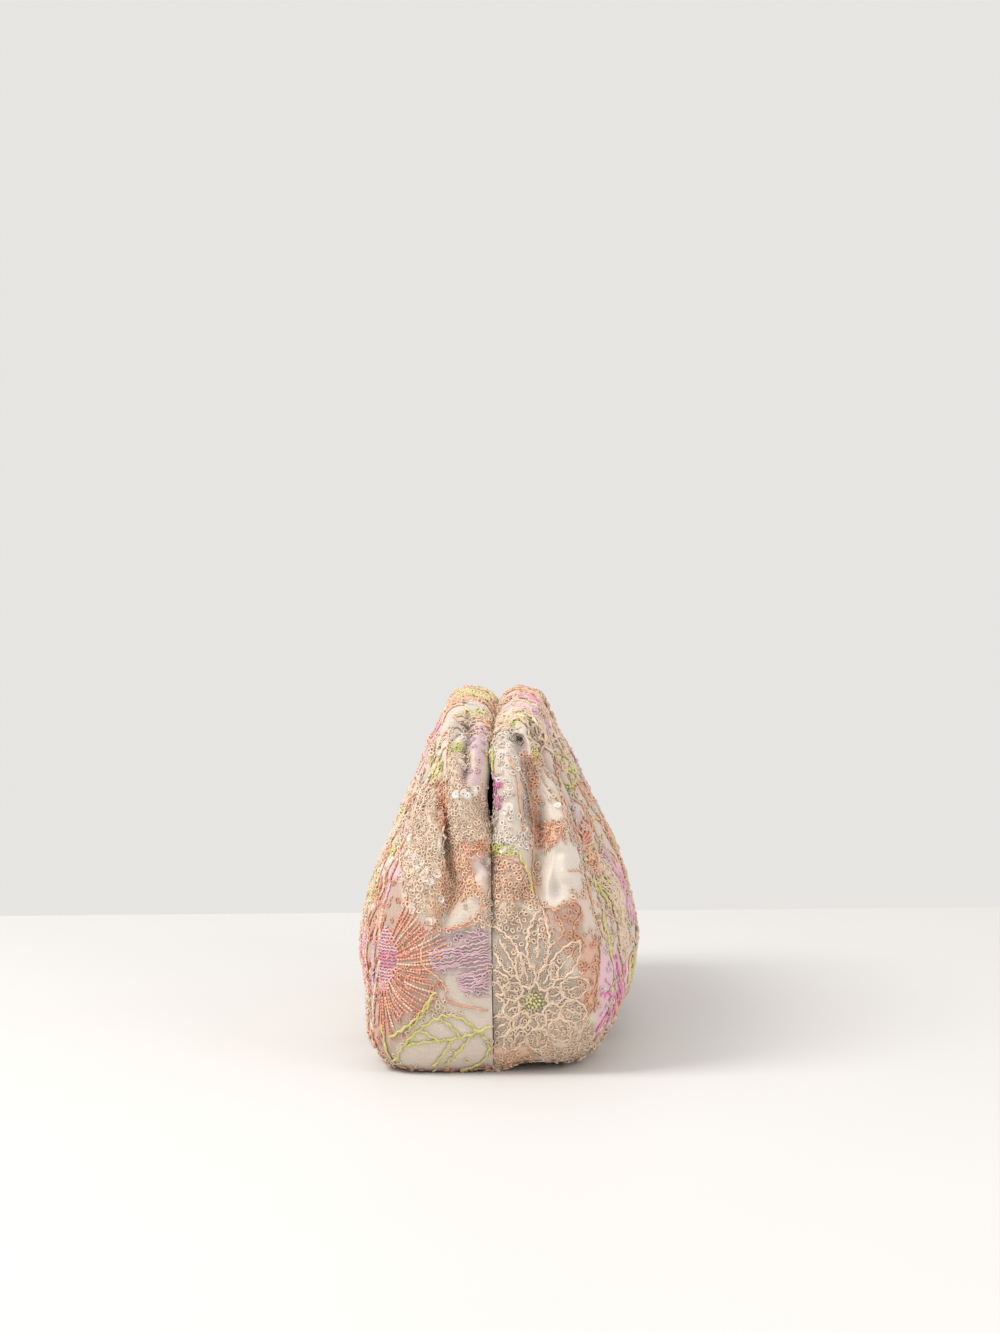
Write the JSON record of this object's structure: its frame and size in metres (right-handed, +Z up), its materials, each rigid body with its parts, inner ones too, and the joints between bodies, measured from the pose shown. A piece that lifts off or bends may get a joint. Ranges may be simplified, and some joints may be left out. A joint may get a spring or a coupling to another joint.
{
  "type": "embroidered evening clutch bag",
  "caption": "Gathered soft clutch with a rounded body and rolled lips that close over a hidden frame.",
  "frame": {"origin": "on the surface that the clutch stands on, under the middle of its base", "axes": "+X along the clutch to the end that the picture shows, -Y to its front, +Z up to the mouth"},
  "size_m": [0.2902, 0.114, 0.1399],
  "materials": {
    "embroidered_cloth": "greige satin under tulle, embroidered with thread, seed beads and small ring sequins in cream, orange, lilac, chartreuse and magenta",
    "frame_steel": "plain round steel bar, hidden in the rolled lips"
  },
  "bodies": {
    "root": {"front_panel": "embroidered_cloth", "back_panel": "embroidered_cloth", "frame_bar": "frame_steel"}
  },
  "joints": []
}
